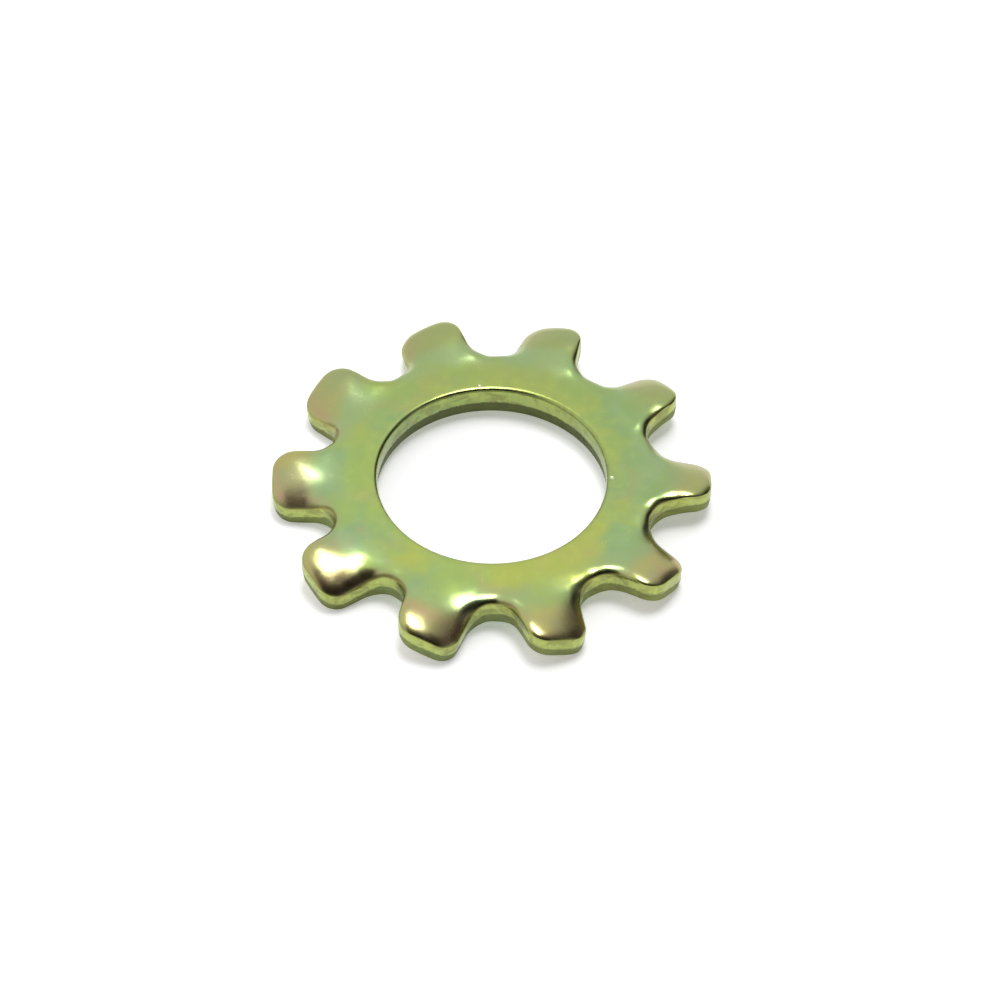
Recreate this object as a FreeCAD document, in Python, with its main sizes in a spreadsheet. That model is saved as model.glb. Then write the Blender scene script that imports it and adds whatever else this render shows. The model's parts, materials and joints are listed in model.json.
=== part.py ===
"""External tooth lock washer: a stamped ring of spring steel, each tooth twisted about its own radius.

One wedge of the ring is drawn with its tooth along +X and its mid-plane at z = 0. Its outline is rolled over
along the upper edge, as the blanking punch leaves it, and the finished wedge is repeated round the bore. The
washer then stands on the lowest corners of its teeth, at z = 0. Millimetres and degrees.
"""

import FreeCAD
import Part
import math
import os
import Sketcher

SIZES = [
    ("tooth_count", 10, "teeth round the ring"),
    ("bore_radius", 3.3, "bore, clear of a quarter inch or M6 screw"),
    ("root_radius", 4.78, "bottom of the gullets, from the axis of the bore"),
    ("tooth_length", 1.54, "from the bottom of the gullets to the tips"),
    ("gullet_radius", 0.72, "round bottom of a gullet"),
    ("flank_taper", 4.4, "lean of each flank towards the tooth's own axis"),
    ("corner_radius", 0.6, "corners of a tip"),
    ("thickness", 0.95, "sheet"),
    ("twist_angle", 22, "turn of a tip about the tooth's own axis"),
    ("flat_angle", 14, "flat part of a gullet, from its bottom round towards the flank"),
    ("twist_share", 0.44805, "part of the tooth's length within which it turns"),
    ("edge_roll", 0.32, "rolled upper edge of the outline"),
    ("bore_bevel", 0.12, "bevel of the bore's upper edge"),
    ("fracture_depth", 0.42, "torn band in the bore, from the lower face up"),
    ("fracture_width", 0.05, "widening of the torn band at the lower face"),
]

# Formulas of the outline in the sheet's sizes. The upper gullet is round about (GULLET_X, GULLET_Y).
HALF_PITCH = "(180 / Sizes.tooth_count)"
GULLET_X = f"((Sizes.root_radius + Sizes.gullet_radius) * cos({HALF_PITCH}))"
GULLET_Y = f"((Sizes.root_radius + Sizes.gullet_radius) * sin({HALF_PITCH}))"
TIP_RADIUS = "(Sizes.root_radius + Sizes.tooth_length)"

# The tooth turns between these two distances from the axis of the bore.
START_X = f"({GULLET_X} - Sizes.gullet_radius * cos({HALF_PITCH} + Sizes.flat_angle))"
FULL_X = "(Sizes.root_radius + Sizes.tooth_length * Sizes.twist_share)"

# Sections of the turning part: along the round of the gullet, then along the straight flank.
ROUND_COUNT = 3
FLANK_COUNT = 3

# A sketch's own axes, which start at its origin, and the points of its edges, as constraints number them.
X_AXIS, Y_AXIS = range(-1, -3, -1)
START, END, CENTRE = range(1, 4)

UPWARD = FreeCAD.Vector(0, 0, 1)
CLOSE = 0.001


def flank_half_width(distance):
    """Formula of half a tooth's width on its straight flank, at a distance from the axis of the bore."""
    return (
        f"({GULLET_Y} - Sizes.gullet_radius / cos(Sizes.flank_taper)"
        f" - ({distance} - {GULLET_X}) * tan(Sizes.flank_taper))"
    )


# The flank meets the tip circle at this angle from the tooth's axis.
TIP_ANGLE = (
    f"(asin(({flank_half_width(FULL_X)} * cos(Sizes.flank_taper) + {FULL_X} * sin(Sizes.flank_taper))"
    f" / {TIP_RADIUS}) / 1 deg - Sizes.flank_taper)"
)


def section_places():
    """Formulas of each section's distance from the axis and half width, from the flat metal outwards."""
    remaining = f"(90 - {HALF_PITCH} - Sizes.flank_taper - Sizes.flat_angle)"
    places = []
    for step in range(ROUND_COUNT + 1):
        angle = f"({HALF_PITCH} + Sizes.flat_angle + {remaining} * {step / ROUND_COUNT})"
        distance = f"({GULLET_X} - Sizes.gullet_radius * cos({angle}))"
        places.append((distance, f"({GULLET_Y} - Sizes.gullet_radius * sin({angle}))"))
    round_end = places[-1][0]
    for step in range(1, FLANK_COUNT + 1):
        distance = f"({round_end} + ({FULL_X} - {round_end}) * {step / FLANK_COUNT})"
        places.append((distance, flank_half_width(distance)))
    return places


def twist_at(distance):
    """Formula of the twist at a distance: it starts and ends level, as the cubic 3u^2 - 2u^3."""
    part = f"(({distance} - {START_X}) / ({FULL_X} - {START_X}))"
    return f"Sizes.twist_angle * {part}^2 * (3 - 2 * {part})"


def make_sheet(doc):
    """The driving sizes, one to a row: name, value, meaning."""
    sheet = doc.addObject("Spreadsheet::Sheet", "Sizes")
    for row, (name, value, meaning) in enumerate(SIZES, start=1):
        sheet.set(f"A{row}", name)
        sheet.set(f"B{row}", str(value))
        sheet.set(f"C{row}", meaning)
        sheet.setAlias(f"B{row}", name)
    doc.recompute()
    return sheet


def value_of(sheet, formula):
    """A formula's value, as a plain number."""
    return float(sheet.evalExpression(formula))


def origin_feature(body, role):
    """An origin plane or axis of the body."""
    return next(item for item in body.Origin.OriginFeatures if item.Role == role)


def new_sketch(body, name, plane):
    """An empty sketch on one of the body's origin planes."""
    sketch = body.newObject("Sketcher::SketchObject", name)
    sketch.AttachmentSupport = [(origin_feature(body, plane), "")]
    sketch.MapMode = "FlatFace"
    return sketch


def bind(sheet, sketch, name, kind, where, formula):
    """A named dimension of a sketch that follows a formula."""
    index = sketch.addConstraint(Sketcher.Constraint(kind, *where, value_of(sheet, formula)))
    sketch.renameConstraint(index, name)
    sketch.setExpression(f"Constraints.{name}", formula)


def tie(sketch, kind, *places):
    """The same constraint at several places of a sketch."""
    for place in places:
        sketch.addConstraint(Sketcher.Constraint(kind, *place))


def draw_polygon(sketch, corners):
    """Straight lines through the corners and back to the first, joined end to end."""
    count = len(corners)
    points = [FreeCAD.Vector(x, y, 0) for x, y in corners]
    for index in range(count):
        sketch.addGeometry(Part.LineSegment(points[index], points[(index + 1) % count]))
    tie(sketch, "Coincident", *((index, END, (index + 1) % count, START) for index in range(count)))


def pad_sheet(body, sketch, name):
    """Metal of the sheet's thickness, half on each side of the sketch."""
    pad = body.newObject("PartDesign::Pad", name)
    pad.Profile = sketch
    pad.Midplane = True
    pad.setExpression("Length", "Sizes.thickness")
    return pad


def make_blank(body, sheet):
    """A flat wedge of one pitch, cut square across where its tooth starts to turn."""
    sketch = new_sketch(body, "WedgeOutline", "XY_Plane")
    far, half_width = value_of(sheet, START_X), value_of(sheet, f"{START_X} * tan({HALF_PITCH})")
    draw_polygon(sketch, [(0, 0), (far, -half_width), (far, half_width)])
    across = 1
    tie(sketch, "Coincident", (0, START, X_AXIS, START))
    tie(sketch, "Symmetric", (across, START, across, END, X_AXIS))
    bind(sheet, sketch, "reach", "DistanceX", (X_AXIS, START, across, START), START_X)
    width = f"2 * {START_X} * tan({HALF_PITCH})"
    bind(sheet, sketch, "width", "DistanceY", (across, START, across, END), width)
    return pad_sheet(body, sketch, "Wedge")


def cut_gullets(body, sheet):
    """The round bottoms of the two gullets that the wedge shares with its neighbours."""
    sketch = new_sketch(body, "GulletRounds", "XY_Plane")
    x, y = value_of(sheet, GULLET_X), value_of(sheet, GULLET_Y)
    for side in (1, -1):
        centre = FreeCAD.Vector(x, side * y, 0)
        sketch.addGeometry(Part.Circle(centre, UPWARD, value_of(sheet, "Sizes.gullet_radius")))
    upper, lower = range(2)
    tie(sketch, "Symmetric", (upper, CENTRE, lower, CENTRE, X_AXIS))
    tie(sketch, "Equal", (upper, lower))
    bind(sheet, sketch, "gullet", "Radius", (upper,), "Sizes.gullet_radius")
    bind(sheet, sketch, "gullet_x", "DistanceX", (X_AXIS, START, upper, CENTRE), GULLET_X)
    bind(sheet, sketch, "gullet_y", "DistanceY", (X_AXIS, START, upper, CENTRE), GULLET_Y)
    pocket = body.newObject("PartDesign::Pocket", "Gullets")
    pocket.Profile = sketch
    pocket.Midplane = True
    pocket.Type = "ThroughAll"
    return pocket


def draw_section(body, sheet, name, distance, half_width):
    """A section of the tooth, square to its axis and turned about it as far as the twist has come."""
    sketch = new_sketch(body, name, "YZ_Plane")
    wide, high = value_of(sheet, half_width), value_of(sheet, "Sizes.thickness / 2")
    draw_polygon(sketch, [(-wide, -high), (wide, -high), (wide, high), (-wide, high)])
    bottom, right, top, left = range(4)
    tie(sketch, "Horizontal", (bottom,), (top,))
    tie(sketch, "Vertical", (right,), (left,))
    tie(sketch, "Symmetric", (bottom, START, right, END, X_AXIS, START))
    bind(sheet, sketch, "width", "DistanceX", (bottom, START, bottom, END), f"2 * {half_width}")
    bind(sheet, sketch, "thickness", "DistanceY", (right, START, right, END), "Sizes.thickness")
    sketch.setExpression("AttachmentOffset.Base.z", distance)
    sketch.setExpression("AttachmentOffset.Rotation.Angle", f"-({twist_at(distance)})")
    return sketch


def make_neck(body, sheet):
    """The turning part of the tooth, lofted through its sections."""
    places = enumerate(section_places())
    sketches = [draw_section(body, sheet, f"NeckSection{index}", *place) for index, place in places]
    loft = body.newObject("PartDesign::AdditiveLoft", "TwistedNeck")
    loft.Profile = sketches[0]
    loft.Sections = sketches[1:]
    return loft


def make_tip(body, sheet):
    """The end of the tooth, flat again at the full twist, with its two corners rounded."""
    sketch = new_sketch(body, "TipOutline", "XY_Plane")
    near, radius = value_of(sheet, FULL_X), value_of(sheet, TIP_RADIUS)
    wide = value_of(sheet, flank_half_width(FULL_X))
    turn = math.radians(value_of(sheet, TIP_ANGLE))
    end = FreeCAD.Vector(radius * math.cos(turn), radius * math.sin(turn), 0)
    root = FreeCAD.Vector(near, wide, 0)
    mirrored_root, mirrored_end = FreeCAD.Vector(near, -wide, 0), FreeCAD.Vector(end.x, -end.y, 0)
    sketch.addGeometry(Part.LineSegment(root, mirrored_root))
    sketch.addGeometry(Part.LineSegment(mirrored_root, mirrored_end))
    sketch.addGeometry(Part.ArcOfCircle(Part.Circle(FreeCAD.Vector(), UPWARD, radius), -turn, turn))
    sketch.addGeometry(Part.LineSegment(end, root))
    across, low, arc, high = range(4)
    tie(sketch, "Coincident", (across, END, low, START), (low, END, arc, START), (arc, END, high, START))
    tie(sketch, "Coincident", (high, END, across, START), (arc, CENTRE, X_AXIS, START))
    tie(sketch, "Symmetric", (across, START, across, END, X_AXIS), (arc, START, arc, END, X_AXIS))
    bind(sheet, sketch, "root", "DistanceX", (X_AXIS, START, across, START), FULL_X)
    root_width = f"2 * {flank_half_width(FULL_X)}"
    bind(sheet, sketch, "root_width", "DistanceY", (across, END, across, START), root_width)
    bind(sheet, sketch, "tip", "Radius", (arc,), TIP_RADIUS)
    tip_width = f"2 * {TIP_RADIUS} * sin({TIP_ANGLE})"
    bind(sheet, sketch, "tip_width", "DistanceY", (arc, START, arc, END), tip_width)
    sketch.AttachmentOffset = FreeCAD.Placement(FreeCAD.Vector(), FreeCAD.Rotation(FreeCAD.Vector(1, 0, 0), 1))
    sketch.setExpression("AttachmentOffset.Rotation.Angle", "-Sizes.twist_angle")
    return pad_sheet(body, sketch, "TipMetal")


def edge_names(feature, wanted):
    """The names of a feature's edges that pass a test."""
    return [f"Edge{number}" for number, edge in enumerate(feature.Shape.Edges, start=1) if wanted(edge)]


def dress_edges(body, kind, name, base, wanted, dimension, formula):
    """Fillets or chamfers the edges of a feature that pass a test."""
    dressing = body.newObject(f"PartDesign::{kind}", name)
    dressing.Base = (base, edge_names(base, wanted))
    dressing.setExpression(dimension, formula)
    body.Document.recompute()
    return dressing


def round_tip_corners(body, sheet, tip):
    """Rounds the two straight edges that stand on the ends of the tip's arc."""
    reach = math.hypot(value_of(sheet, TIP_RADIUS), value_of(sheet, "Sizes.thickness / 2"))

    def stands_at_tip(edge):
        far = all(abs(vertex.Point.Length - reach) < CLOSE for vertex in edge.Vertexes)
        return far and isinstance(edge.Curve, Part.Line)

    return dress_edges(body, "Fillet", "TipCorners", tip, stands_at_tip, "Radius", "Sizes.corner_radius")


def roll_outline(body, sheet, wedge):
    """Rolls the upper edge over along gullets, flanks and tip, but not where the wedge joins its neighbours."""
    root_radius = value_of(sheet, "Sizes.root_radius")

    def lean(face):
        first_u, last_u, first_v, last_v = face.ParameterRange
        return face.normalAt((first_u + last_u) / 2, (first_v + last_v) / 2).z

    def is_on_outline(edge):
        leans = [lean(face) for face in wedge.Shape.ancestorsOfType(edge, Part.Face)]
        middle = edge.CenterOfMass
        return max(leans) > 0.5 and min(leans) < 0.5 and math.hypot(middle.x, middle.y) > root_radius

    return dress_edges(body, "Fillet", "RolledOutline", wedge, is_on_outline, "Radius", "Sizes.edge_roll")


def repeat_wedge(body):
    """The whole disc: one wedge for each tooth."""
    pattern = body.newObject("PartDesign::PolarPattern", "Disc")
    pattern.TransformMode = "Whole shape"
    pattern.Axis = (origin_feature(body, "Z_Axis"), [""])
    pattern.Angle = 360
    pattern.setExpression("Occurrences", "Sizes.tooth_count")
    body.Tip = pattern
    body.Document.recompute()
    return pattern


def pierce_bore(body, sheet):
    """The bore: straight where the punch cut it, and widening downwards where the metal tore."""
    sketch = new_sketch(body, "BoreProfile", "XZ_Plane")
    bore, half = value_of(sheet, "Sizes.bore_radius"), value_of(sheet, "Sizes.thickness / 2")
    torn_radius = bore + value_of(sheet, "Sizes.fracture_width")
    torn_top = value_of(sheet, "Sizes.fracture_depth") - half
    draw_polygon(sketch, [(0, -half), (torn_radius, -half), (bore, torn_top), (bore, half), (0, half)])
    lower, torn, cut, upper, middle = range(5)
    tie(sketch, "Horizontal", (lower,), (upper,))
    tie(sketch, "Vertical", (cut,))
    tie(sketch, "PointOnObject", (lower, START, Y_AXIS), (upper, END, Y_AXIS))
    bind(sheet, sketch, "lower_face", "DistanceY", (lower, START, X_AXIS, START), "Sizes.thickness / 2")
    bind(sheet, sketch, "thickness", "DistanceY", (lower, START, upper, END), "Sizes.thickness")
    bind(sheet, sketch, "bore", "DistanceX", (X_AXIS, START, cut, START), "Sizes.bore_radius")
    bind(sheet, sketch, "torn_width", "DistanceX", (torn, END, torn, START), "Sizes.fracture_width")
    bind(sheet, sketch, "torn_depth", "DistanceY", (torn, START, torn, END), "Sizes.fracture_depth")
    groove = body.newObject("PartDesign::Groove", "Bore")
    groove.Profile = sketch
    groove.ReferenceAxis = (origin_feature(body, "Z_Axis"), [""])
    groove.Angle = 360
    body.Document.recompute()
    return groove


def bevel_bore(body, sheet, pierced):
    """Takes the sharpness off the upper edge of the bore."""
    bore_radius = value_of(sheet, "Sizes.bore_radius")

    def is_upper_bore_edge(edge):
        round_bore = isinstance(edge.Curve, Part.Circle) and abs(edge.Curve.Radius - bore_radius) < CLOSE
        return round_bore and edge.Curve.Center.z > value_of(sheet, "Sizes.thickness / 2") - CLOSE

    return dress_edges(body, "Chamfer", "BevelledBore", pierced, is_upper_bore_edge, "Size", "Sizes.bore_bevel")


def make_washer(doc, sheet):
    """The washer's one body, set down on the lowest corners of its teeth."""
    body = doc.addObject("PartDesign::Body", "LockWasher")
    body.Label = "lock_washer"
    make_blank(body, sheet)
    cut_gullets(body, sheet)
    make_neck(body, sheet)
    tip = make_tip(body, sheet)
    doc.recompute()
    wedge = roll_outline(body, sheet, round_tip_corners(body, sheet, tip))
    repeat_wedge(body)
    bevel_bore(body, sheet, pierce_bore(body, sheet))
    drop = f"{flank_half_width(FULL_X)} * sin(Sizes.twist_angle)"
    body.setExpression("Placement.Base.z", f"{drop} + Sizes.thickness / 2 * cos(Sizes.twist_angle)")
    doc.recompute()
    return body


def check(doc, body):
    """Stops where an object failed, a feature made no sound shape or the washer isn't one solid."""
    failed = [item.Name for item in doc.Objects if {"Invalid", "Error"} & set(item.State)]
    features = [item for item in body.Group if item.isDerivedFrom("PartDesign::Feature")]
    failed += [item.Name for item in features if item.Shape.isNull() or not item.Shape.isValid()]
    if failed:
        raise RuntimeError("failed to build: " + ", ".join(failed))
    if len(body.Shape.Solids) != 1:
        raise RuntimeError(body.Label + " is not one solid")


def main():
    doc = FreeCAD.newDocument("LockWasher")
    sheet = make_sheet(doc)
    body = make_washer(doc, sheet)
    check(doc, body)
    os.makedirs("parts", exist_ok=True)
    body.Shape.exportStep(f"parts/{body.Label}.step")
    box = body.Shape.BoundBox
    print(f"{body.Label}: {body.Shape.Volume:.3f} mm3, from z {box.ZMin:.4f} to {box.ZMax:.4f}")


main()
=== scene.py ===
"""External tooth lock washer with a yellow and green passivated zinc finish, lying on a pale floor.

The washer is one closed surface, worked out on a grid: once round the outline and once round the section.
Millimetres inside the formulas, metres in Blender.
"""

import json
import math

import bpy
import numpy as np
from mathutils import Matrix, Vector


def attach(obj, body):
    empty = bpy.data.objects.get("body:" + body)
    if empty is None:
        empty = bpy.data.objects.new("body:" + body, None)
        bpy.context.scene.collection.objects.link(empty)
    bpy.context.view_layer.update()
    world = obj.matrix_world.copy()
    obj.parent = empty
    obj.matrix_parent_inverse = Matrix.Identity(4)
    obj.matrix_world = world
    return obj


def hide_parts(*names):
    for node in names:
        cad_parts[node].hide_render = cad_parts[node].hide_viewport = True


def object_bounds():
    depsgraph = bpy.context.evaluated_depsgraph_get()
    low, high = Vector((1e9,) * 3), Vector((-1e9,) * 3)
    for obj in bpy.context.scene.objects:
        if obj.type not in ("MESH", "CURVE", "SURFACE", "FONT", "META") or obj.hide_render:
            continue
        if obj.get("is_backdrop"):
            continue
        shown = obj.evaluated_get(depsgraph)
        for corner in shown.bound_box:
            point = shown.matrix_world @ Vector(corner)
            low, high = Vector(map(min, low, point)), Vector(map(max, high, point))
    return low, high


bl_info = {
    "name": "External Tooth Lock Washer",
    "version": (1, 0, 0),
    "blender": (4, 5, 0),
    "location": "3D View > Sidebar > Washer",
    "description": "Builds a stamped lock washer with twisted teeth and its studio",
    "category": "Add Mesh",
}

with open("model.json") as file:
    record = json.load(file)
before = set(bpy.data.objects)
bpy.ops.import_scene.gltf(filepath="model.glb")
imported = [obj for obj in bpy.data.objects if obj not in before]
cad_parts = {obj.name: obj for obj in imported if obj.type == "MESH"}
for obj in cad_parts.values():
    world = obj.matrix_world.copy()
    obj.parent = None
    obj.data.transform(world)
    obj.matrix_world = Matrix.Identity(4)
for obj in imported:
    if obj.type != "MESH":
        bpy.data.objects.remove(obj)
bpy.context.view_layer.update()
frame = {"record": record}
MOUNTS = {mount["name"]: mount for mount in frame["record"]["mounts"]}
NODE = "lock_washer"
MM = 0.001

# The straight part of the bore reaches from the torn band up to the bevel, which gives the sheet's middle.
TORN_HEIGHT, SHEET = 0.42, 0.95
BORE = MOUNTS["bore"]
MIDDLE = BORE["pos_m"][2] + (SHEET / 2 - TORN_HEIGHT - BORE["dims"]["length_mm"] / 2) * MM

# The photograph is square, this many pixels a side.
PHOTO_SIDE = 1000
# From the middle of the floor to its sides, in metres.
FLOOR_REACH = 0.6


def length(name, description, millimetres):
    """A length property, given in millimetres and kept in metres."""
    return bpy.props.FloatProperty(
        name=name, description=description, default=millimetres * MM, min=0, precision=6, unit="LENGTH"
    )


def angle(name, description, degrees):
    """An angle property, given in degrees and kept in radians."""
    return bpy.props.FloatProperty(
        name=name, description=description, default=math.radians(degrees), subtype="ANGLE"
    )


def factor(name, description, value):
    """A share between 0 and 1."""
    return bpy.props.FloatProperty(
        name=name, description=description, default=value, min=0, max=1, subtype="FACTOR"
    )


def number(name, description, value):
    """A plain number."""
    return bpy.props.FloatProperty(name=name, description=description, default=value)


def power(name, description, watts):
    """A lamp's power in watts."""
    return bpy.props.FloatProperty(name=name, description=description, default=watts, min=0, unit="POWER")


def colour(name, description, red, green, blue):
    """A colour property, given as it looks on the screen, 0 to 255, and kept linear."""
    linear = [(channel / 255) ** 2.2 for channel in (red, green, blue)]
    return bpy.props.FloatVectorProperty(
        name=name, description=description, default=linear, min=0, max=1, size=3, subtype="COLOR"
    )


class WasherForm(bpy.types.PropertyGroup):
    """Sizes of the stamped and twisted ring."""

    tooth_count: bpy.props.IntProperty(name="Teeth", description="Teeth round the ring", default=10, min=3)
    bore_radius: length("Bore radius", "Straight part of the bore", BORE["dims"]["r_mm"])
    root_radius: length("Root radius", "From the axis to the bottom of a gullet", 4.78)
    tip_radius: length("Tip radius", "From the axis to the end of a tooth", 6.32)
    gullet_radius: length("Gullet radius", "Round bottom between two teeth", 0.72)
    flank_taper: angle("Flank taper", "Lean of a flank towards the tooth's own axis", 4.4)
    corner_radius: length("Corner radius", "Corners of a tooth's end", 0.62)
    thickness: length("Sheet", "Thickness of the sheet", SHEET)
    twist_angle: angle("Twist", "Turn of a tooth's end about its own radius", 19)
    lowered_share: factor("Lowered share", "How far the lowered side sinks, as a share of the turn", 0.85)
    wall_lean: factor("Wall lean", "How far a tooth's walls turn with its faces, from 0 for upright", 0.2)
    twist_start: length("Twist starts", "Distance from the axis at which a tooth starts to turn", 4.1)
    twist_end: length("Twist ends", "Distance from the axis at which a tooth has its full turn", 5.8)
    gullet_roll_width: length("Gullet roll width", "Width of the rolled upper edge in a gullet", 0.34)
    gullet_roll_height: length("Gullet roll height", "Height of the rolled upper edge in a gullet", 0.2)
    tooth_roll_width: length("Tooth roll width", "Width of the rolled upper edge round a tooth", 0.32)
    tooth_roll_height: length("Tooth roll height", "Height of the rolled upper edge round a tooth", 0.1)
    crown: length("Crown", "How far a tooth's upper face falls off towards its flanks", 0.19)
    tooth_half_width: length("Half width", "Half of a tooth's width", 0.97)
    bore_roll: length("Bore roll", "Rolled upper edge of the bore", 0.13)
    torn_height: length("Torn band", "Height of the torn band above the lower face", TORN_HEIGHT)
    torn_inset: length("Torn inset", "How far the torn band stands back from the cut band", 0.05)


class PlatingLook(bpy.types.PropertyGroup):
    """Colours and gloss of the passivated zinc."""

    leaf: colour("Leaf green", "Main colour of the film", 158, 182, 105)
    lime: colour("Lime", "Yellower patches of the film", 174, 184, 95)
    sea: colour("Sea green", "Bluer patches of the film", 142, 174, 124)
    # Mixed in darker towards the back right of the washer, and into the scoring of the cut band.
    moss: colour("Moss", "Darker film on the side that drained last", 138, 162, 102)
    mist: colour("Mist", "Bluish film round the roots of the teeth", 152, 178, 132)
    # On the teeth this is the film's own colour; on tilted and rounded metal it is a painted iridescent
    # sheen.
    rose_film_and_sheen: colour("Rose", "Film on rounded and tilted metal", 188, 158, 126)
    # Partly brownish film and partly a painted dark reflection, at the foot of the rolled edge.
    umber_film_and_reflection: colour("Umber", "Film where the rolled edge meets the wall", 90, 52, 34)
    cut: colour("Cut metal", "Film on the bright cut band of the outline", 188, 198, 108)
    torn: colour("Torn metal", "Film on the rough torn band", 116, 118, 74)
    bare: colour("Bare metal", "Small nicks at the edge of the bore", 226, 232, 214)
    # Its darkness beyond the torn metal's own colour is painted shade inside the bore.
    bore_torn: colour("Torn metal in the bore", "Darker film on the torn band in the bore", 84, 90, 58)
    gloss_roughness: factor("Roughness", "Roughness of the smooth metal", 0.24)
    torn_roughness: factor("Torn roughness", "Roughness of the torn band", 0.6)


class StudioLook(bpy.types.PropertyGroup):
    """Floor, lamps and camera."""

    floor_colour: colour("Floor", "Colour of the floor", 250, 250, 250)
    floor_lift: factor("Floor lift", "Brightness added to the floor for the camera and the metal", 0.3)
    room_light: number("Room light", "Light from all round", 1.0)
    main_power: power("Main lamp", "Power of the large soft lamp overhead", 0.145)
    back_power: power("Back lamp", "Power of the small lamp behind it", 0.022)
    elevation: angle("Camera height", "Angle of the camera above the floor", 48.65)
    distance: length("Camera distance", "From the camera to the middle of the washer", 148.5)
    focal_pixels: number("Focal length", "Focal length in pixels of the picture", 5156)
    centre_x: number("Centre across", "The washer's middle, in pixels from the left", 491.7)
    centre_y: number("Centre down", "The washer's middle, in pixels from the top", 485.4)
    camera_side: angle("Camera side", "Turn of the camera round the washer, clockwise seen from above", 0.5)
    camera_roll: angle("Camera roll", "Turn of the picture", 0.46)


# The form of the washer. How many points and rows its curves and bands are given:

ARC_POINTS, FLANK_POINTS, TIP_POINTS = 200, 80, 60
STEPS_PER_HALF = 60
TORN_ROWS, CUT_ROWS, BORE_ROLL_ROWS, TOP_ROWS, ROLL_ROWS, EDGE_ROWS, BOTTOM_ROWS = 6, 3, 5, 26, 9, 3, 12

# The small round of the lower edge, and the way over which a gullet's roll becomes a tooth's, in millimetres.
LOWER_ROUND, ROLL_BLEND = 0.03, 0.9
# How far the torn band's border wanders in the bore and at the rim, as a share of the band's height.
BORE_RAGGED, RIM_RAGGED = 0.1, 0.16
# The steps round the bore crowd towards a tooth's middle by this power.
BORE_CROWDING = 2.3
# The crown starts this far before the gullet's bottom, grows over this way, and falls again over the last
# stretch before the tip, in millimetres. That last fall is a share of the fall towards the flanks.
CROWN_LEAD, CROWN_RISE, CROWN_LAST, LAST_SHARE = 0.25, 0.85, 1.1, 0.9
# The crown's fall is held from here, and fades from here over this way, in half widths of a tooth.
CROWN_HELD, FADE_START, FADE_RUN = 1.1, 1.05, 0.35
# The twist fades from this share of the way between a tooth's middle and a gullet's.
TWIST_FADE = 0.6


def smoothstep(share):
    """3u^2 - 2u^3, held at 0 before the start and at 1 past the end."""
    share = np.clip(share, 0, 1)
    return share * share * (3 - 2 * share)


def ripple(rng, along, across, waves, finest):
    """Smooth noise that closes on itself: a sum of sine waves with whole turns along the outline."""
    total = np.zeros(np.broadcast(along, across).shape)
    for _ in range(waves):
        turns = rng.integers(finest // 6, finest)
        phase, slant = rng.uniform(0, 2 * np.pi), rng.uniform(-9, 9)
        total += np.sin(2 * np.pi * turns * along + slant * across + phase)
    return total / math.sqrt(waves)


def arc(centre, radius, start, end, count):
    """Points on a circle, with the directions from its centre."""
    turn = np.linspace(start, end, count)
    direction = np.stack([np.cos(turn), np.sin(turn)], axis=-1)
    return centre + radius * direction, direction


def half_tooth(form):
    """Half a tooth's outline from a gullet's bottom to the middle of the tip, and its outward directions.

    A gullet arc, a straight flank that touches it, a corner arc that touches flank and tip, and the tip arc.
    """
    half_pitch = math.pi / form.tooth_count
    taper = form.flank_taper
    gullet_radius, corner_radius = form.gullet_radius / MM, form.corner_radius / MM
    tip_radius = form.tip_radius / MM
    gullet = (form.root_radius / MM + gullet_radius) * np.array([math.cos(half_pitch), math.sin(half_pitch)])
    away = np.array([math.sin(taper), math.cos(taper)])
    flank_start = gullet - gullet_radius * away
    along = np.array([math.cos(taper), -math.sin(taper)])
    corner_line = flank_start - corner_radius * away
    behind = corner_line @ along
    reach = -behind + math.sqrt(behind**2 - corner_line @ corner_line + (tip_radius - corner_radius) ** 2)
    corner = corner_line + reach * along
    flank_end = corner + corner_radius * away
    flank_turn = math.pi / 2 - taper
    tip_turn = math.atan2(corner[1], corner[0])

    hollow, hollow_in = arc(gullet, gullet_radius, math.pi + half_pitch, math.pi + flank_turn, ARC_POINTS)
    flank = np.linspace(flank_start, flank_end, FLANK_POINTS)
    round_corner, corner_out = arc(corner, corner_radius, flank_turn, tip_turn, ARC_POINTS)
    tip, tip_out = arc(np.zeros(2), tip_radius, tip_turn, 0, TIP_POINTS)
    points = np.concatenate([hollow, flank, round_corner, tip])
    outward = np.concatenate([-hollow_in, np.broadcast_to(away, flank.shape), corner_out, tip_out])
    return points, outward


def tooth_outline(form, steps):
    """One pitch of the outline at even steps: half a tooth, then its mirror image."""
    points, outward = half_tooth(form)
    travelled = np.concatenate([[0], np.cumsum(np.linalg.norm(np.diff(points, axis=0), axis=1))])
    travelled += 1e-9 * np.arange(len(travelled))
    places = np.linspace(0, travelled[-1], steps + 1)
    even = np.stack([np.interp(places, travelled, points[:, axis]) for axis in range(2)], axis=-1)
    facing = np.stack([np.interp(places, travelled, outward[:, axis]) for axis in range(2)], axis=-1)
    facing /= np.linalg.norm(facing, axis=1, keepdims=True)
    mirror = np.array([1, -1])
    lower = (even * mirror, facing * mirror)
    upper = (even[::-1][1:-1], facing[::-1][1:-1])
    return np.concatenate([lower[0], upper[0]]), np.concatenate([lower[1], upper[1]])


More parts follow.
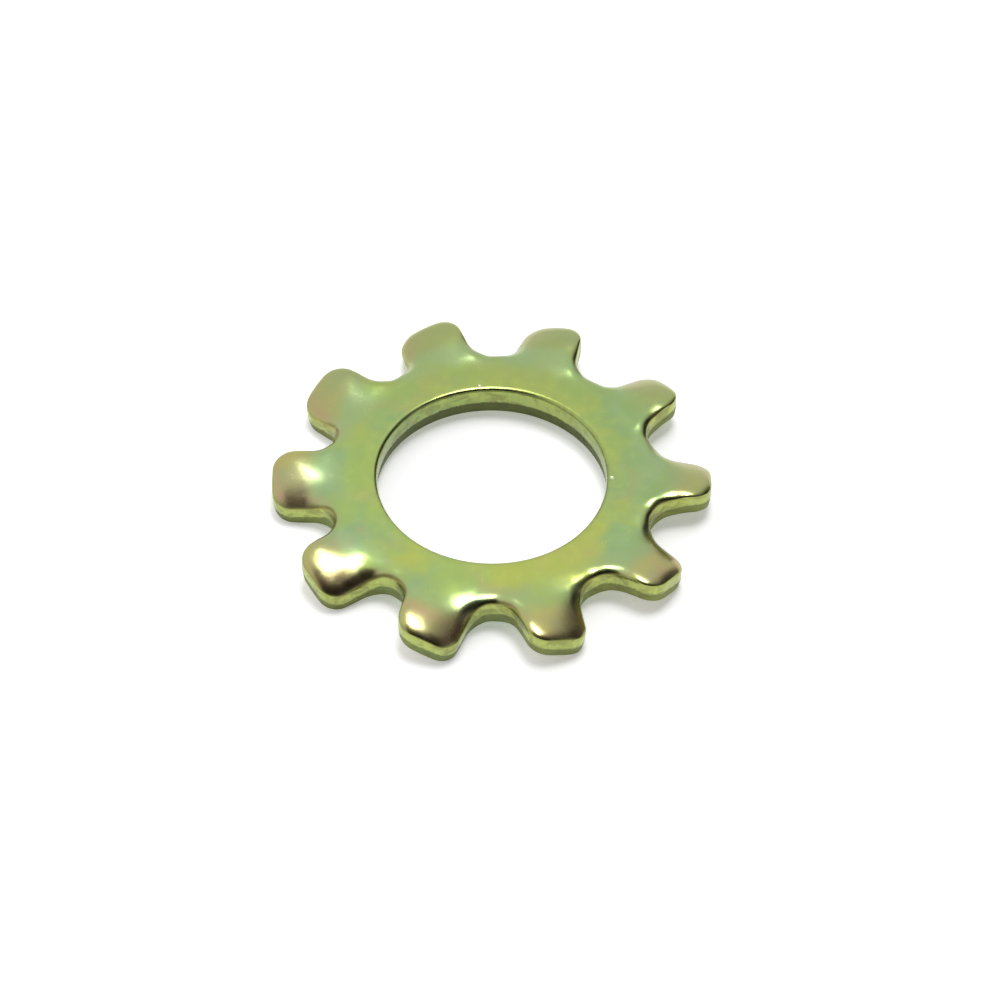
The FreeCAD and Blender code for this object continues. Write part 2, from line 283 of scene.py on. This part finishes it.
def section(form, around, distance):
    """Rows of the section, from the bore's lower edge up, outwards, down and back under.

    Each row has its share of the way from bore to outline, its distance outwards from the bore, its distance
    inwards from the outline, its height over the middle of the sheet, and how much it lies on a wall. The
    rolled edge is a quarter of an ellipse that changes from the gullets to the teeth.
    """
    half = form.thickness / MM / 2
    grown = smoothstep((distance - form.root_radius / MM) / ROLL_BLEND)
    roll_width = (form.gullet_roll_width + (form.tooth_roll_width - form.gullet_roll_width) * grown) / MM
    roll_height = (form.gullet_roll_height + (form.tooth_roll_height - form.gullet_roll_height) * grown) / MM
    bore_roll, inset = form.bore_roll / MM, form.torn_inset / MM
    bore_wave = ripple(np.random.default_rng(3), around, 0, 12, 140)
    rim_wave = ripple(np.random.default_rng(4), around, 0, 14, 200)
    bore_torn = -half + form.torn_height / MM * (1 + BORE_RAGGED * bore_wave)
    rim_torn = -half + form.torn_height / MM * (1 + RIM_RAGGED * rim_wave)
    low, rows = -half + LOWER_ROUND, []

    def add(share, out, back, height, wall):
        """Keeps one row, with each of its values given all the way round."""
        rows.append([np.broadcast_to(value, around.shape) for value in (share, out, back, height, wall)])

    for step in np.linspace(0, 1, TORN_ROWS, endpoint=False):
        add(0, inset * (1 - step), 0, -half + (bore_torn + half) * step, 1)
    for step in np.linspace(0, 1, CUT_ROWS, endpoint=False):
        add(0, 0, 0, bore_torn + (half - bore_roll - bore_torn) * step, 1)
    for turn in np.linspace(0, np.pi / 2, BORE_ROLL_ROWS):
        add(0, bore_roll * (1 - math.cos(turn)), 0, half - bore_roll * (1 - math.sin(turn)), math.cos(turn))
    for share in np.linspace(0, 1, TOP_ROWS)[1:-1]:
        add(share, bore_roll, roll_width, half, 0)
    for turn in np.linspace(0, np.pi / 2, ROLL_ROWS):
        back, drop = roll_width * (1 - math.sin(turn)), roll_height * (1 - math.cos(turn))
        add(1, 0, back, half - drop, math.sin(turn) ** 8)
    for step in np.linspace(0, 1, CUT_ROWS + 1)[1:]:
        add(1, 0, 0, half - roll_height + (rim_torn - half + roll_height) * step, 1)
    for step in np.linspace(0, 1, TORN_ROWS + 1)[1:]:
        add(1, 0, inset * step, rim_torn + (low - rim_torn) * step, 1)
    for turn in np.linspace(0, np.pi / 2, EDGE_ROWS + 1)[1:]:
        back, height = inset + LOWER_ROUND * (1 - math.cos(turn)), -half + LOWER_ROUND * (1 - math.sin(turn))
        add(1, 0, back, height, math.cos(turn))
    for share in np.linspace(1, 0, BOTTOM_ROWS)[1:-1]:
        add(share, inset, inset + LOWER_ROUND, -half, 0)
    return [np.stack(column) for column in zip(*rows)]


def crown(form, x, y):
    """How far a tooth's upper face falls off from its middle.

    It falls with the square of the distance from the tooth's axis, and with the square of the way along its
    last stretch, grows from the gullets outwards, and fades past the flanks.
    """
    start, end, half_width = form.root_radius / MM, form.tip_radius / MM, form.tooth_half_width / MM
    along = smoothstep((x - start + CROWN_LEAD) / CROWN_RISE)
    aside = np.abs(y) / half_width
    fade = 1 - smoothstep((aside - FADE_START) / FADE_RUN)
    last = np.clip(x - end + CROWN_LAST, 0, CROWN_LAST) / CROWN_LAST
    return form.crown / MM * along * fade * (np.minimum(aside, CROWN_HELD) ** 2 + LAST_SHARE * last**2)


def twist(form, points):
    """Turns a tooth about its own axis, X.

    The turn grows as a smoothstep of the distance along the tooth, and fades out towards the middle of the
    gullets, so that neighbours meet level. The lowered side sinks less than the raised side rises, and the
    press leaves the walls more upright than a plain turn would.
    """
    start, end = form.twist_start / MM, form.twist_end / MM
    half_pitch = math.pi / form.tooth_count
    x, y, z = points
    aside = np.abs(np.arctan2(y, x)) / half_pitch
    fade = 1 - smoothstep((aside - TWIST_FADE) / (1 - TWIST_FADE))
    turn = form.twist_angle * smoothstep((x - start) / (end - start)) * fade
    cosine, sine = np.cos(turn), np.sin(turn)
    lean = form.wall_lean
    lowered = smoothstep(y / (2 * form.tooth_half_width / MM) + 0.5)
    sunk = y * sine * (1 - (1 - form.lowered_share) * lowered)
    return np.stack([x, y * cosine + z * sine * lean, z * (1 - (1 - cosine) * lean) - sunk])


def ring_grid(form):
    """The whole washer as a grid of points, rows of the section by steps round the outline."""
    outline, outward = tooth_outline(form, STEPS_PER_HALF)
    steps, teeth = len(outline), form.tooth_count
    tooth = np.repeat(np.arange(teeth), steps)
    outline, outward = np.tile(outline, (teeth, 1)).T, np.tile(outward, (teeth, 1)).T
    around = np.arange(teeth * steps) / (teeth * steps)
    share, out, back, height, wall = section(form, around, outline[0])

    half_pitch = math.pi / teeth
    place = (np.arange(teeth * steps) % steps) / steps * 2 - 1
    bore_turn = np.sign(place) * np.abs(place) ** BORE_CROWDING * half_pitch
    radius = form.bore_radius / MM + out
    edge = outline[:, None] - outward[:, None] * back
    flat_x = (1 - share) * radius * np.cos(bore_turn) + share * edge[0]
    flat_y = (1 - share) * radius * np.sin(bore_turn) + share * edge[1]
    depth = height / form.thickness * MM + 0.5
    x, y, z = twist(form, np.stack([flat_x, flat_y, height - crown(form, flat_x, flat_y) * depth]))

    turn = 2 * half_pitch * tooth
    across, upward = x * np.cos(turn) - y * np.sin(turn), x * np.sin(turn) + y * np.cos(turn)
    return np.stack([across, upward, z + MIDDLE / MM], axis=-1), depth, wall


def grid_normals(grid):
    """Unit normals of a grid that closes both ways: the cross product of its two central differences."""
    down = np.roll(grid, -1, axis=0) - np.roll(grid, 1, axis=0)
    along = np.roll(grid, -1, axis=1) - np.roll(grid, 1, axis=1)
    normal = np.cross(down, along)
    return normal / np.maximum(np.linalg.norm(normal, axis=-1, keepdims=True), 1e-12)


def closed_mesh(name, grid):
    """A mesh of four-sided faces through a grid that closes both ways."""
    rows, steps = grid.shape[:2]
    row, step = np.meshgrid(np.arange(rows), np.arange(steps), indexing="ij")
    next_row, next_step = (row + 1) % rows, (step + 1) % steps
    corners = [(row, step), (row, next_step), (next_row, next_step), (next_row, step)]
    faces = np.stack([line * steps + place for line, place in corners], axis=-1).reshape(-1, 4)
    mesh = bpy.data.meshes.new(name)
    mesh.vertices.add(rows * steps)
    mesh.vertices.foreach_set("co", (grid * MM).astype(np.float32).ravel())
    mesh.loops.add(faces.size)
    mesh.loops.foreach_set("vertex_index", faces.ravel().astype(np.int32))
    mesh.polygons.add(len(faces))
    mesh.polygons.foreach_set("loop_start", np.arange(0, faces.size, 4, dtype=np.int32))
    mesh.update(calc_edges=True)
    mesh.shade_smooth()
    return mesh


def point_values(mesh, name, values):
    """Keeps one value for each point of the mesh, for its material."""
    attribute = mesh.attributes.new(name, "FLOAT", "POINT")
    attribute.data.foreach_set("value", values.astype(np.float32).ravel())


# The plating, the floor and the room.


class Wire:
    """One socket of a shader graph; sums, differences and products of wires add Math nodes."""

    def __init__(self, graph, socket):
        self.graph = graph
        self.socket = socket

    def maths(self, operation, first, second):
        """The result of a Math node on two wires or numbers."""
        return self.graph.node("ShaderNodeMath", {"operation": operation}, {0: first, 1: second})

    def __add__(self, other):
        return self.maths("ADD", self, other)

    def __radd__(self, other):
        return self.maths("ADD", other, self)

    def __sub__(self, other):
        return self.maths("SUBTRACT", self, other)

    def __rsub__(self, other):
        return self.maths("SUBTRACT", other, self)

    def __mul__(self, other):
        return self.maths("MULTIPLY", self, other)

    def __rmul__(self, other):
        return self.maths("MULTIPLY", other, self)


class Graph:
    """A material's node tree."""

    def __init__(self, tree):
        self.tree = tree
        tree.nodes.clear()

    def node(self, kind, settings=None, inputs=None, output=0):
        """Adds a node, applies its settings, then its inputs, and returns one of its outputs as a wire."""
        node = self.tree.nodes.new(kind)
        for name, value in (settings or {}).items():
            setattr(node, name, value)
        for name, value in (inputs or {}).items():
            if isinstance(value, Wire):
                self.tree.links.new(value.socket, node.inputs[name])
            else:
                node.inputs[name].default_value = value
        return Wire(self, node.outputs[output]) if node.outputs else None

    def mix(self, share, first, second):
        """A colour between two colours."""
        settings = {"data_type": "RGBA", "clamp_factor": True}
        colours = [value if isinstance(value, Wire) else (*value, 1) for value in (first, second)]
        return self.node("ShaderNodeMix", settings, {0: share, 6: colours[0], 7: colours[1]}, output=2)

    def ramp(self, value, low, high):
        """0 below low, 1 above high and a smooth rise between."""
        inputs = {"Value": value, "From Min": low, "From Max": high, "To Min": 0.0, "To Max": 1.0}
        return self.node("ShaderNodeMapRange", {"interpolation_type": "SMOOTHSTEP"}, inputs)

    def noise(self, vector, scale, detail=2.0, roughness=0.5, distortion=0.0):
        """Noise between 0 and 1 in a vector's own units."""
        inputs = {"Vector": vector, "Scale": scale, "Detail": detail}
        inputs |= {"Roughness": roughness, "Distortion": distortion}
        return self.node("ShaderNodeTexNoise", {"noise_dimensions": "3D"}, inputs)

    def dot(self, vector, axis):
        """The part of a vector that lies along an axis."""
        inputs = {0: vector, 1: axis}
        return self.node("ShaderNodeVectorMath", {"operation": "DOT_PRODUCT"}, inputs, output="Value")

    def spot(self, vector, centre, radius):
        """1 at a place, falling smoothly to 0 at a distance from it."""
        inputs = {0: vector, 1: centre}
        away = self.node("ShaderNodeVectorMath", {"operation": "DISTANCE"}, inputs, output="Value")
        return 1 - self.ramp(away, radius * 0.4, radius)

    def stretch(self, vector, scale, shift=(0, 0, 0)):
        """A vector with each of its parts scaled and moved."""
        inputs = {"Vector": vector, "Scale": scale, "Location": shift}
        return self.node("ShaderNodeMapping", None, inputs)

    def value(self, name):
        """A value that the mesh keeps for each point."""
        return self.node("ShaderNodeAttribute", {"attribute_name": name}, output="Fac")


def plating_material(look):
    """Zinc with a passivation film whose colour drifts from lime over leaf green to sea green.

    Teeth turn pinkish in the film's own colour, and tilted metal too, there as a painted iridescent sheen.
    The roots of the teeth turn bluish and one side of the washer moss. The foot of a rolled edge gets a brown
    line, partly brownish film and partly a painted dark reflection. The cut band is scored and stained, and
    the torn band dull and rough, darker still in the bore as painted shade.
    """
    material = bpy.data.materials.new("passivated_zinc")
    material.use_nodes = True
    graph = Graph(material.node_tree)
    place = graph.stretch(graph.node("ShaderNodeTexCoord", output="Object"), (1 / MM, 1 / MM, 1 / MM))
    depth, wall, tilt = graph.value("depth"), graph.value("wall"), graph.value("tilt")
    flat_place = graph.node("ShaderNodeVectorMath", {"operation": "MULTIPLY"}, {0: place, 1: (1, 1, 0)})
    reach = graph.node("ShaderNodeVectorMath", {"operation": "LENGTH"}, {0: flat_place}, output="Value")

    # The film's own colours, in patches.
    drift = graph.noise(place, 0.35, detail=1.5, distortion=0.3)
    drift_aside = graph.noise(graph.stretch(place, (1, 1, 1), (17, 5, 3)), 0.5, detail=2, distortion=0.4)
    film = graph.mix(graph.ramp(drift, 0.45, 0.64), look.leaf, look.lime)
    film = graph.mix(graph.ramp(drift_aside, 0.48, 0.66) * 0.85, film, look.sea)
    # Where the film turns pinkish on teeth and bluish round the roots, and moss towards the back right.
    # On tilted metal the pink is a painted iridescent sheen.
    blush = graph.noise(graph.stretch(place, (1, 1, 1), (4, 31, 9)), 0.8, detail=2, distortion=0.5)
    tooth = graph.ramp(reach, 4.7, 5.6)
    # Pinkish film on the teeth and in patches, and a painted iridescent sheen where the metal tilts.
    pink_film_and_sheen = tooth * 0.45 + graph.ramp(tilt, 0.02, 0.22) * 0.5 + graph.ramp(blush, 0.5, 0.75) * 0.3
    film = graph.mix(pink_film_and_sheen * (1 - wall), film, look.rose_film_and_sheen)
    # Moss, growing towards the back right of the washer.
    film = graph.mix(graph.ramp(graph.dot(place, (0.4, 0.9, 0)), -5.0, 5.0) * 0.55, film, look.moss)
    mottle = graph.noise(place, 3.0, detail=4, roughness=0.6)
    film = graph.mix(graph.ramp(mottle, 0.35, 0.8) * 0.16, film, look.lime)
    rooted = graph.ramp(reach, 4.0, 4.7) * (1 - graph.ramp(reach, 4.9, 5.5)) * graph.ramp(blush, 0.3, 0.6)
    film = graph.mix(rooted * 0.55 * (1 - wall), film, look.mist)
    film = graph.mix((1 - graph.ramp(reach, 3.4, 4.1)) * graph.ramp(mottle, 0.3, 0.6) * 0.3, film, look.lime)

    # The foot of the rolled edge, outside the bore: a brown line, partly brownish film and partly a painted
    # dark reflection where the rolled edge turns down into the wall.
    in_bore = 1 - graph.ramp(reach, 3.6, 4.2)
    foot = graph.ramp(depth, 0.76, 0.84) * (1 - graph.ramp(depth, 0.9, 0.96)) * (1 - in_bore)
    film = graph.mix(foot * (0.45 + 0.7 * mottle), film, look.umber_film_and_reflection)

    # The walls: a cut band above, a torn band below, and a ragged border between them.
    grain = graph.noise(place, 14.0, detail=3, roughness=0.6)
    stain = graph.noise(graph.stretch(place, (1, 1, 1.6), (8, 2, 5)), 2.4, detail=3, distortion=0.6)
    ragged = depth + (grain - 0.5) * 0.14 + (stain - 0.5) * (1 - in_bore) * 0.35
    torn = (1 - graph.ramp(ragged, 0.4, 0.47)) * graph.ramp(wall, 0.5, 0.9)
    scoring = graph.noise(graph.stretch(place, (4, 4, 0.5)), 2.2, detail=3, roughness=0.7)
    film = graph.mix(wall * (1 - torn) * (1 - in_bore) * 0.75, film, look.cut)
    film = graph.mix(wall * (1 - torn) * graph.ramp(scoring, 0.42, 0.62) * 0.35, film, look.moss)
    film = graph.mix(wall * (0.2 + 0.5 * graph.ramp(stain, 0.42, 0.66)), film, look.torn)
    # In the bore the torn band is mixed in more strongly and darker: painted shade inside the hole.
    film = graph.mix(torn * (0.6 + 0.25 * in_bore), film, graph.mix(in_bore, look.torn, look.bore_torn))

    # Two nicks at the bore's edge, then gloss and fine relief.
    nicks = graph.spot(place, (3.46, -0.12, 1.25), 0.08) + graph.spot(place, (-0.35, 3.44, 1.27), 0.06)
    film = graph.mix(nicks * 0.7, film, look.bare)
    fine = graph.noise(place, 26.0, detail=3, roughness=0.7)
    patches = (mottle - 0.5) * 0.16 + (fine - 0.5) * 0.1
    roughness = look.gloss_roughness + patches + torn * (look.torn_roughness - look.gloss_roughness)
    height = fine * 0.5 - nicks * 6 + graph.noise(place, 5.0, detail=3) * 0.9
    height = height + torn * grain * 6 + wall * (1 - torn) * scoring * 2
    bump = graph.node("ShaderNodeBump", None, {"Strength": 0.2, "Distance": 0.01 * MM, "Height": height})

    inputs = {"Base Color": film, "Roughness": roughness, "Metallic": 1.0, "Normal": bump}
    shader = graph.node("ShaderNodeBsdfPrincipled", None, inputs)
    graph.node("ShaderNodeOutputMaterial", None, {"Surface": shader})
    return material


def floor_material(look):
    """A plain pale floor, a little brighter to the camera and in the metal than its lamps make it."""
    material = bpy.data.materials.new("pale_floor")
    material.use_nodes = True
    graph = Graph(material.node_tree)
    seen = graph.node("ShaderNodeLightPath", output="Is Camera Ray")
    mirrored = graph.node("ShaderNodeLightPath", output="Is Glossy Ray")
    inputs = {
        "Base Color": (*look.floor_colour, 1), "Roughness": 0.9, "Specular IOR Level": 0.1,
        "Emission Color": (1, 1, 1, 1), "Emission Strength": (seen + mirrored) * look.floor_lift,
    }
    shader = graph.node("ShaderNodeBsdfPrincipled", None, inputs)
    graph.node("ShaderNodeOutputMaterial", None, {"Surface": shader})
    return material


def room_world(look):
    """Soft light from all round, white where the camera looks past the floor.

    It is dim, brighter on the main side behind the washer and, on the other sides, low down. A dark card in
    front and one at the right take most of it away where the metal would mirror them.
    """
    world = bpy.data.worlds.new("studio_room")
    world.use_nodes = True
    graph = Graph(world.node_tree)
    seen = graph.node("ShaderNodeLightPath", output="Is Camera Ray")
    direction = graph.node("ShaderNodeTexCoord", output="Generated")
    main_side = graph.ramp(graph.dot(direction, (-0.55, 0.65, 0.5)), -0.05, 0.6)
    low_down = 1 - graph.ramp(graph.dot(direction, (0, 0, 1)), 0.3, 0.5)
    front_card = graph.ramp(graph.dot(direction, (0.1, -0.5, 0.86)), 0.78, 0.9)
    right_card = graph.ramp(graph.dot(direction, (0.9, 0.38, 0.2)), 0.8, 0.93)
    level = 0.13 + 0.85 * main_side + 0.5 * low_down * (1 - main_side)
    level = level * (1 - 0.93 * front_card) * (1 - 0.85 * right_card)
    strength = seen + (1 - seen) * level * look.room_light
    background = graph.node("ShaderNodeBackground", None, {"Color": (1, 1, 1, 1), "Strength": strength})
    graph.node("ShaderNodeOutputWorld", None, {"Surface": background})
    return world


# The pieces as operators.


def link(name, data):
    """A new object in the scene."""
    item = bpy.data.objects.new(name, data)
    bpy.context.scene.collection.objects.link(item)
    return item


class WASHER_OT_add_ring(bpy.types.Operator):
    """Adds the stamped ring with its twisted teeth"""

    bl_idname = "washer.add_ring"
    bl_label = "Toothed ring"

    def execute(self, context):
        form, look = context.scene.washer_form, context.scene.washer_plating
        grid, depth, wall = ring_grid(form)
        normals = grid_normals(grid)
        mesh = closed_mesh("toothed_ring", grid)
        point_values(mesh, "depth", depth)
        point_values(mesh, "wall", wall)
        point_values(mesh, "tilt", 1 - np.abs(normals[..., 2]))
        ring = link("toothed_ring", mesh)
        mesh.materials.append(plating_material(look))
        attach(ring, "root")
        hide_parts(NODE)
        return {"FINISHED"}


def add_lamp(name, place, side, watts):
    """A soft square lamp that looks at the washer's middle; place and side are in millimetres."""
    data = bpy.data.lights.new(name, "AREA")
    data.shape = "SQUARE"
    data.size = side * MM
    data.energy = watts
    lamp = link(name, data)
    lamp.location = Vector(place) * MM
    lamp.rotation_euler = (-Vector(place)).to_track_quat("-Z", "Y").to_euler()
    return lamp


def add_camera(look):
    """The camera at the photograph's angle, aimed so that the washer's middle falls on its pixel."""
    data = bpy.data.cameras.new("camera")
    data.sensor_width = 36
    data.lens = data.sensor_width * look.focal_pixels / PHOTO_SIDE
    data.clip_start = 10 * MM
    data.clip_end = 10
    camera = link("camera", data)
    middle = Vector((0, 0, MIDDLE))
    side, height = look.camera_side, look.elevation
    back = Vector((-math.cos(height) * math.sin(side), -math.cos(height) * math.cos(side), math.sin(height)))
    right = Vector((math.cos(side), -math.sin(side), 0))
    up = back.cross(right)
    roll = look.camera_roll
    right, up = right * math.cos(roll) + up * math.sin(roll), up * math.cos(roll) - right * math.sin(roll)
    pixel = look.distance / look.focal_pixels
    across = (PHOTO_SIDE / 2 - look.centre_x) * pixel
    upward = (look.centre_y - PHOTO_SIDE / 2) * pixel
    camera.location = middle + back * look.distance + right * across + up * upward
    camera.rotation_euler = Matrix((right, up, back)).transposed().to_euler()
    bpy.context.scene.camera = camera


class WASHER_OT_add_stage(bpy.types.Operator):
    """Adds the floor, the lamps, the room's light and the camera"""

    bl_idname = "washer.add_stage"
    bl_label = "Floor, lamps and camera"

    def execute(self, context):
        scene, look = context.scene, context.scene.washer_studio
        side, level = FLOOR_REACH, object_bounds()[0].z
        corners = [(-side, -side, level), (side, -side, level), (side, side, level), (-side, side, level)]
        mesh = bpy.data.meshes.new("floor")
        mesh.from_pydata(corners, [], [(0, 1, 2, 3)])
        mesh.materials.append(floor_material(look))
        link("floor", mesh)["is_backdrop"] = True
        add_lamp("soft_box", (17, 16, 188), 56, look.main_power)
        add_lamp("back_box", (-6, 58, 179), 26, look.back_power)
        scene.world = room_world(look)
        add_camera(look)
        scene.view_settings.view_transform = "Standard"
        return {"FINISHED"}


class WASHER_PT_panel(bpy.types.Panel):
    """Lists the washer's pieces and their sizes"""

    bl_idname = "WASHER_PT_panel"
    bl_label = "Lock washer"
    bl_space_type = "VIEW_3D"
    bl_region_type = "UI"
    bl_category = "Washer"

    def draw(self, context):
        for operator, groups in STEPS:
            self.layout.operator(operator)
            for group in groups:
                settings = getattr(context.scene, group)
                for name in type(settings).__annotations__:
                    self.layout.prop(settings, name)


STEPS = (("washer.add_ring", ("washer_form", "washer_plating")), ("washer.add_stage", ("washer_studio",)))
GROUPS = {"washer_form": WasherForm, "washer_plating": PlatingLook, "washer_studio": StudioLook}
CLASSES = (WasherForm, PlatingLook, StudioLook, WASHER_OT_add_ring, WASHER_OT_add_stage, WASHER_PT_panel)


def register():
    """Makes the classes known to Blender and hangs the settings on the scene."""
    for kind in CLASSES:
        bpy.utils.register_class(kind)
    for name, kind in GROUPS.items():
        setattr(bpy.types.Scene, name, bpy.props.PointerProperty(type=kind))


def unregister():
    """Takes the settings and the classes away again."""
    for name in GROUPS:
        delattr(bpy.types.Scene, name)
    for kind in reversed(CLASSES):
        bpy.utils.unregister_class(kind)


def main():
    """Builds the washer and its stage."""
    register()
    bpy.ops.washer.add_ring()
    bpy.ops.washer.add_stage()


if __name__ == "__main__":
    main()
